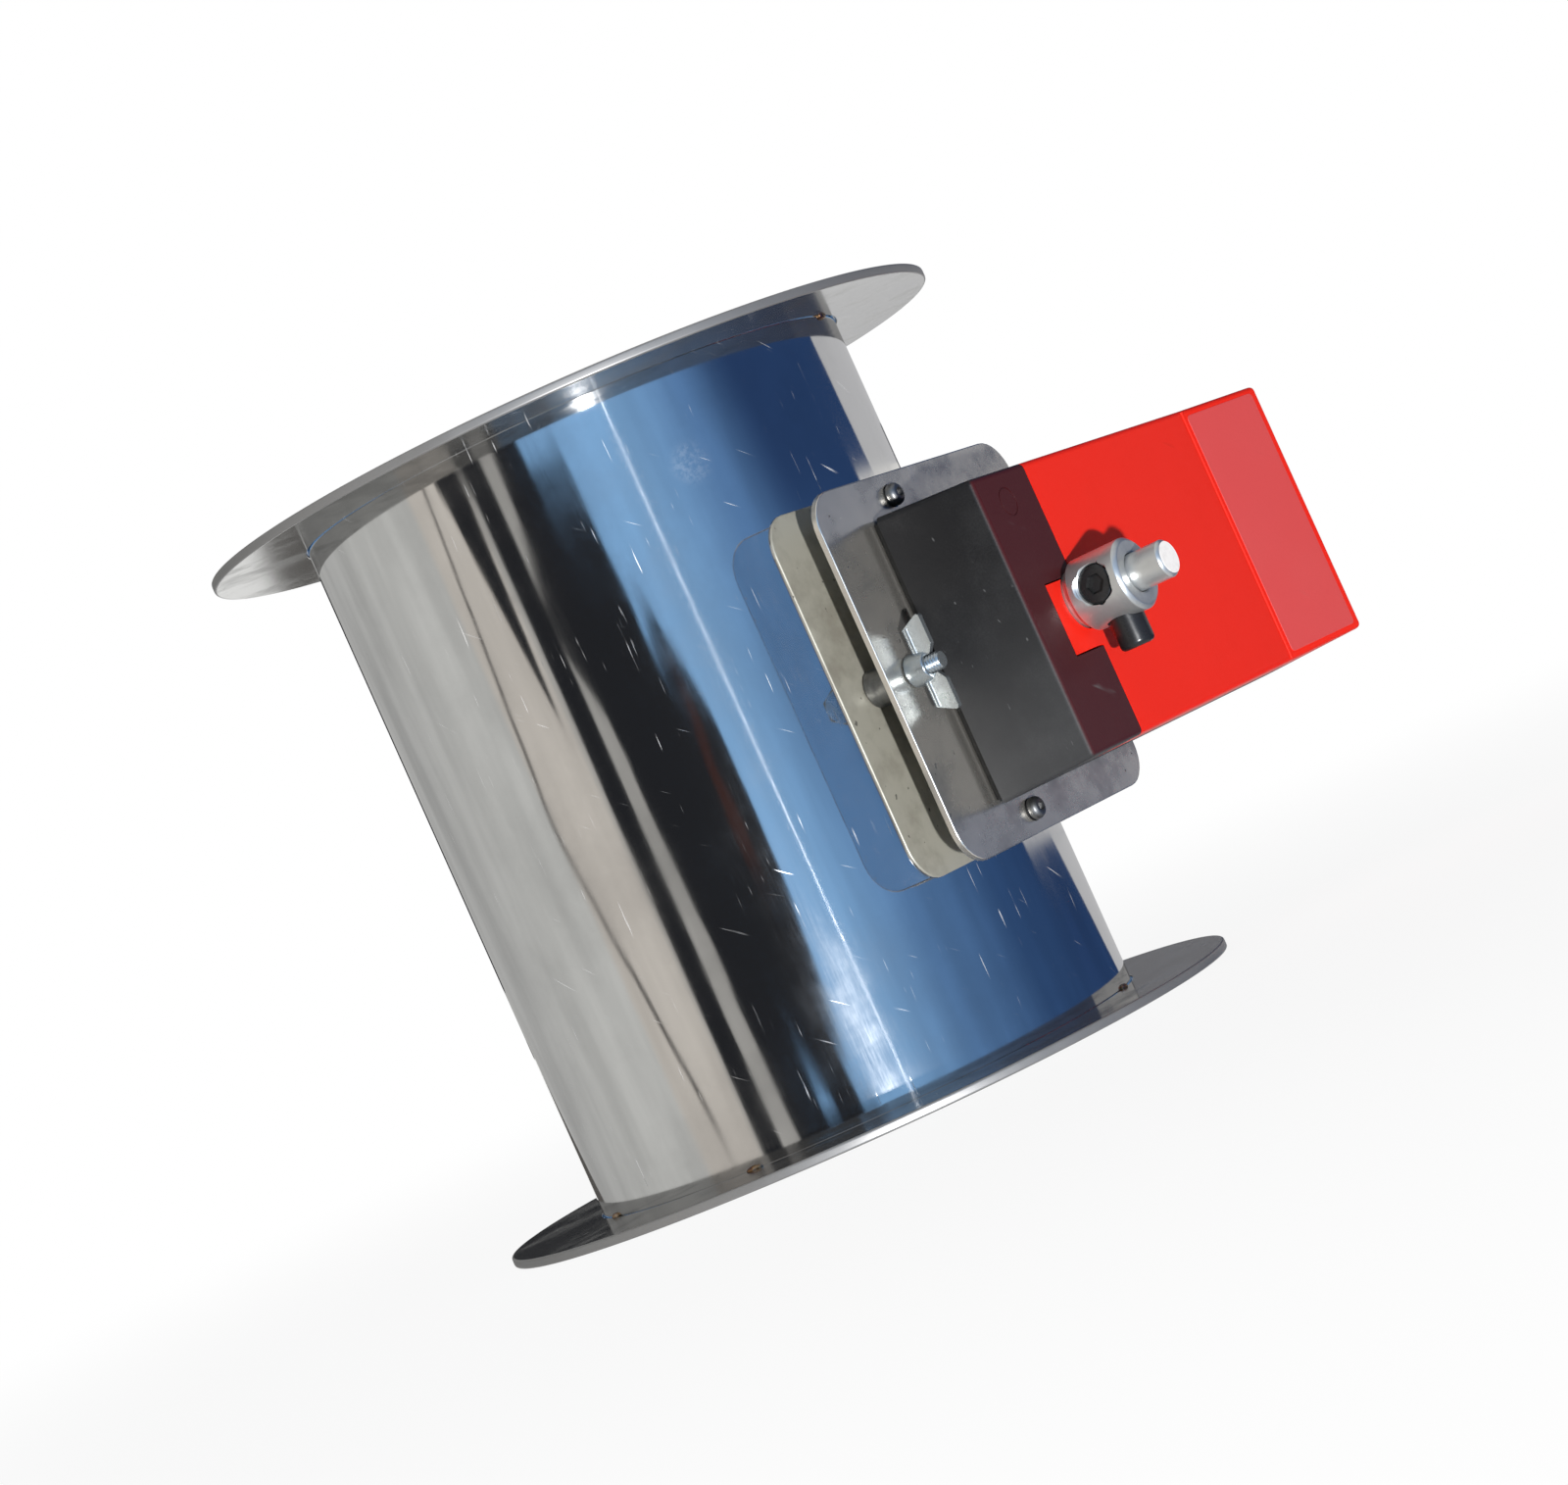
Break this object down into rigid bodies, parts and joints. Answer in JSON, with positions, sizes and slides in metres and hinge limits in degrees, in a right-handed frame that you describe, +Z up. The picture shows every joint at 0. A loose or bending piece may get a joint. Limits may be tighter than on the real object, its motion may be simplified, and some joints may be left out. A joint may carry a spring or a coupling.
{
  "type": "motorized duct damper",
  "caption": "Round stainless duct section with flat end flanges, a disc blade on a cross shaft, and a red and black electric actuator on a stand-off bracket",
  "frame": {"origin": "on the plane that the bottom flange stands on, under the centre of the bounding box", "axes": "+X along the shaft from the duct to the actuator, +Y along the actuator from the clamp to the motor end, +Z up along the duct"},
  "size_m": [0.205, 0.1938, 0.16],
  "materials": {
    "polished_stainless": "mirror polished stainless steel with fine scratches",
    "bracket_stainless": "bright rolled stainless sheet",
    "zinc_plated_steel": "bright zinc plating",
    "spring_steel": "phosphated spring steel",
    "black_oxide_steel": "black oxide, slightly oily",
    "bearing_bronze": "sintered bronze",
    "black_plastic": "finely textured moulding",
    "red_plastic": "satin moulding",
    "white_nylon": "moulded nylon",
    "gear_brass": "machined brass",
    "board_laminate": "green solder mask",
    "black_rubber": "matt rubber"
  },
  "bodies": {
    "duct": {"duct_tube": "polished_stainless", "flange_bottom": "polished_stainless", "flange_top": "polished_stainless", "drive_boss": "polished_stainless", "idle_boss": "polished_stainless", "drive_bush": "bearing_bronze", "idle_bush": "bearing_bronze", "shaft_washer": "zinc_plated_steel", "bracket_back_plate": "bracket_stainless", "bracket_front_plate": "bracket_stainless", "spacer_top": "zinc_plated_steel", "spacer_bottom": "zinc_plated_steel", "spacer_wing": "zinc_plated_steel", "spacer_stud": "zinc_plated_steel", "plate_screw_top": "zinc_plated_steel", "plate_screw_bottom": "zinc_plated_steel", "wing_bolt": "zinc_plated_steel", "locating_stud": "zinc_plated_steel", "actuator_base": "black_plastic", "actuator_cover": "red_plastic", "cover_screw_1": "zinc_plated_steel", "cover_screw_2": "zinc_plated_steel", "cover_screw_3": "zinc_plated_steel", "cover_screw_4": "zinc_plated_steel", "second_axle": "zinc_plated_steel", "first_axle": "zinc_plated_steel", "motor": "zinc_plated_steel", "circuit_board": "board_laminate", "cable_gland": "black_rubber"},
    "damper": {"damper_shaft": "zinc_plated_steel", "damper_blade": "bracket_stainless", "blade_screw_1": "zinc_plated_steel", "blade_screw_2": "zinc_plated_steel", "blade_screw_3": "zinc_plated_steel", "shaft_snap_ring": "spring_steel", "clamp_hub": "zinc_plated_steel", "set_screw_long": "black_oxide_steel", "set_screw_short": "black_oxide_steel", "output_gear": "gear_brass"},
    "second_gear": {"second_gear": "white_nylon"},
    "first_gear": {"first_gear": "white_nylon"},
    "motor_rotor": {"motor_shaft": "zinc_plated_steel", "motor_pinion": "gear_brass"},
    "wing_nut": {"wing_nut": "zinc_plated_steel"}
  },
  "joints": [
    {"name": "damper_turn", "type": "hinge", "parent": "duct", "child": "damper", "pos_m": [-0.01823, -0.01268, 0.08], "axis": [1, 0, 0], "range_deg": [0, 90]},
    {"name": "second_gear_turn", "type": "hinge", "parent": "duct", "child": "second_gear", "pos_m": [-0.01823, 0.01162, 0.08], "axis": [1, 0, 0], "range_deg": [-180, 0]},
    {"name": "first_gear_turn", "type": "hinge", "parent": "duct", "child": "first_gear", "pos_m": [-0.01823, 0.03143, 0.08], "axis": [1, 0, 0], "range_deg": [0, 360]},
    {"name": "motor_turn", "type": "hinge", "parent": "duct", "child": "motor_rotor", "pos_m": [-0.01823, 0.05122, 0.08], "axis": [1, 0, 0], "range_deg": [-720, 0]},
    {"name": "wing_nut_turn", "type": "hinge", "parent": "duct", "child": "wing_nut", "pos_m": [-0.01823, -0.04317, 0.08], "axis": [1, 0, 0], "range_deg": [-35, 35]}
  ],
  "couplings": [
    {"joint": "second_gear_turn", "follows": "damper_turn", "ratio": -2},
    {"joint": "first_gear_turn", "follows": "damper_turn", "ratio": 4},
    {"joint": "motor_turn", "follows": "damper_turn", "ratio": -8}
  ]
}
